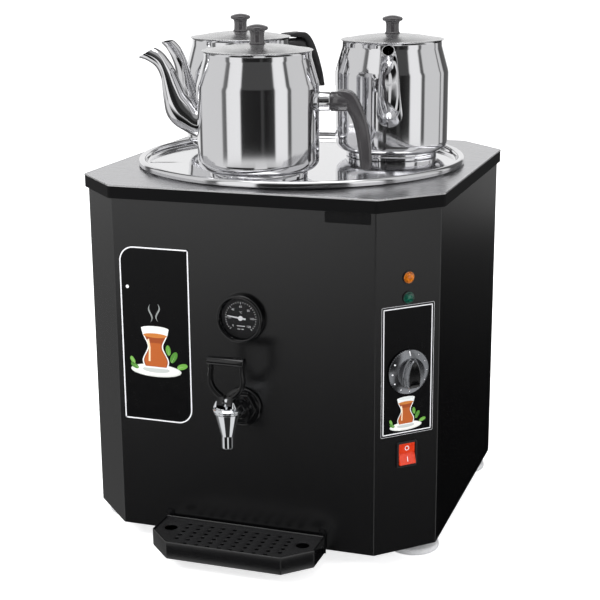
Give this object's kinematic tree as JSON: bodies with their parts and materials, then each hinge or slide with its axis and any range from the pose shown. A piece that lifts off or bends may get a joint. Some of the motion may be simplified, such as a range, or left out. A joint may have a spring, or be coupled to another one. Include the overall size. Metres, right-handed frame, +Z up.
{
  "type": "hot water urn",
  "caption": "Octagonal countertop water boiler with a cam tap, dial thermometer, side controls, drip tray and a round steam tray that keeps lidded teapots warm.",
  "frame": {"origin": "on the floor, midway between the front of the drip tray and the tip of the cable gland", "axes": "+Z up, +X to the right seen from the front, the front with the tap faces -Y"},
  "size_m": [0.428, 0.509, 0.5952],
  "materials": {
    "black_paint": "satin black powder coat on steel sheet",
    "satin_steel": "satin stainless sheet",
    "mirror_steel": "mirror-polished stainless sheet",
    "zinc_steel": "zinc-plated steel",
    "tank_steel": "plain stainless sheet",
    "jacket_wool": "mineral wool blanket",
    "brass": "turned brass",
    "copper": "drawn copper tube",
    "chrome": "chrome-plated brass",
    "bakelite": "moulded dark grey bakelite",
    "black_plastic": "moulded black plastic",
    "foot_plastic": "moulded light grey plastic",
    "ceramic": "white terminal plastic",
    "gasket": "red heat-proof rubber",
    "seat_rubber": "white silicone rubber",
    "dial_print": "dark grey printed dial",
    "dial_glass": "clear glass",
    "needle_white": "white painted needle",
    "print_plate": "thin aluminium plate printed in black with a white border",
    "amber": "amber lens",
    "green": "green lens",
    "rocker_red": "red rocker",
    "knob_metal": "dark satin metal ring"
  },
  "bodies": {
    "urn": {"body_casing": "black_paint", "top_frame": "black_paint", "top_plate": "satin_steel", "base_plate": "zinc_steel", "water_tank": "tank_steel", "tank_jacket": "jacket_wool", "tank_legs": "zinc_steel", "heating_element": "zinc_steel", "element_nuts": "brass", "thermostat": "zinc_steel", "thermostat_bulb": "copper", "safety_cutout": "black_plastic", "terminal_block": "ceramic", "cable_gland": "black_plastic", "feet": "foot_plastic", "foot_bolts": "zinc_steel", "gauge_case": "black_plastic", "gauge_dial": "dial_print", "gauge_glass": "dial_glass", "front_plate": "print_plate", "panel_plate": "print_plate", "badge_plate": "print_plate", "tap_body": "chrome", "tap_rosette": "black_plastic", "tap_gaskets": "gasket", "tap_lock_nut": "brass", "tap_bonnet": "chrome", "tap_spring": "tank_steel", "amber_lamp": "amber", "green_lamp": "green", "rocker_frame": "black_plastic", "drip_bracket": "black_paint"},
    "gauge_needle": {"gauge_pointer": "needle_white"},
    "tap_plunger": {"tap_stem": "chrome", "tap_seat_cup": "seat_rubber"},
    "tap_lever": {"tap_lever": "black_plastic", "tap_pin": "chrome"},
    "rocker": {"rocker_button": "rocker_red"},
    "thermostat_knob": {"knob_skirt": "knob_metal", "knob_grip": "black_plastic", "knob_spindle": "brass"},
    "drip_tray": {"drip_tray": "black_paint"},
    "drip_grid": {"drip_grid": "black_paint"},
    "steam_tray": {"steam_tray": "mirror_steel"},
    "pot_1": {"pot_1_body": "mirror_steel", "pot_1_spout": "mirror_steel", "pot_1_handle": "bakelite"},
    "pot_1_lid": {"pot_1_lid": "mirror_steel", "pot_1_lid_knob": "bakelite"},
    "pot_2": {"pot_2_body": "mirror_steel", "pot_2_spout": "mirror_steel", "pot_2_handle": "bakelite"},
    "pot_2_lid": {"pot_2_lid": "mirror_steel", "pot_2_lid_knob": "bakelite"},
    "pot_3": {"pot_3_body": "mirror_steel", "pot_3_spout": "mirror_steel", "pot_3_handle": "bakelite"},
    "pot_3_lid": {"pot_3_lid": "mirror_steel", "pot_3_lid_knob": "bakelite"}
  },
  "joints": [
    {"name": "needle_turn", "type": "hinge", "parent": "urn", "child": "gauge_needle", "pos_m": [0, -0.1825, 0.282], "axis": [0, 1, 0], "range_deg": [-52, 218]},
    {"name": "plunger_lift", "type": "slide", "parent": "urn", "child": "tap_plunger", "axis": [0, 0, 1], "range_m": [0, 0.004], "deforming": ["tap_spring"]},
    {"name": "lever_tilt", "type": "hinge", "parent": "tap_plunger", "child": "tap_lever", "pos_m": [0, -0.2305, 0.2005], "axis": [1, 0, 0], "range_deg": [0, 60], "stiffness_Nm_per_rad": 0.004, "springref_deg": -17.19},
    {"name": "rocker_tilt", "type": "hinge", "parent": "urn", "child": "rocker", "pos_m": [0.17867, -0.15117, 0.133], "axis": [0.7071, 0.7071, 0], "range_deg": [0, 16]},
    {"name": "knob_turn", "type": "hinge", "parent": "urn", "child": "thermostat_knob", "pos_m": [0.1815, -0.154, 0.229], "axis": [-0.7071, 0.7071, 0], "range_deg": [0, 270]},
    {"name": "drip_tray_lift", "type": "slide", "parent": "urn", "child": "drip_tray", "axis": [0, 0, 1], "range_m": [0, 0.06]},
    {"name": "drip_grid_lift", "type": "slide", "parent": "drip_tray", "child": "drip_grid", "axis": [0, 0, 1], "range_m": [0, 0.04]},
    {"name": "steam_tray_lift", "type": "slide", "parent": "urn", "child": "steam_tray", "axis": [0, 0, 1], "range_m": [0, 0.06]},
    {"name": "pot_1_lift", "type": "slide", "parent": "steam_tray", "child": "pot_1", "axis": [0, 0, 1], "range_m": [0, 0.2]},
    {"name": "pot_1_lid_lift", "type": "slide", "parent": "pot_1", "child": "pot_1_lid", "axis": [0, 0, 1], "range_m": [0, 0.06]},
    {"name": "pot_2_lift", "type": "slide", "parent": "steam_tray", "child": "pot_2", "axis": [0, 0, 1], "range_m": [0, 0.2]},
    {"name": "pot_2_lid_lift", "type": "slide", "parent": "pot_2", "child": "pot_2_lid", "axis": [0, 0, 1], "range_m": [0, 0.06]},
    {"name": "pot_3_lift", "type": "slide", "parent": "steam_tray", "child": "pot_3", "axis": [0, 0, 1], "range_m": [0, 0.2]},
    {"name": "pot_3_lid_lift", "type": "slide", "parent": "pot_3", "child": "pot_3_lid", "axis": [0, 0, 1], "range_m": [0, 0.06]}
  ],
  "couplings": [
    {"joint": "plunger_lift", "follows": "lever_tilt", "m_per_rad": 0.0038197}
  ]
}
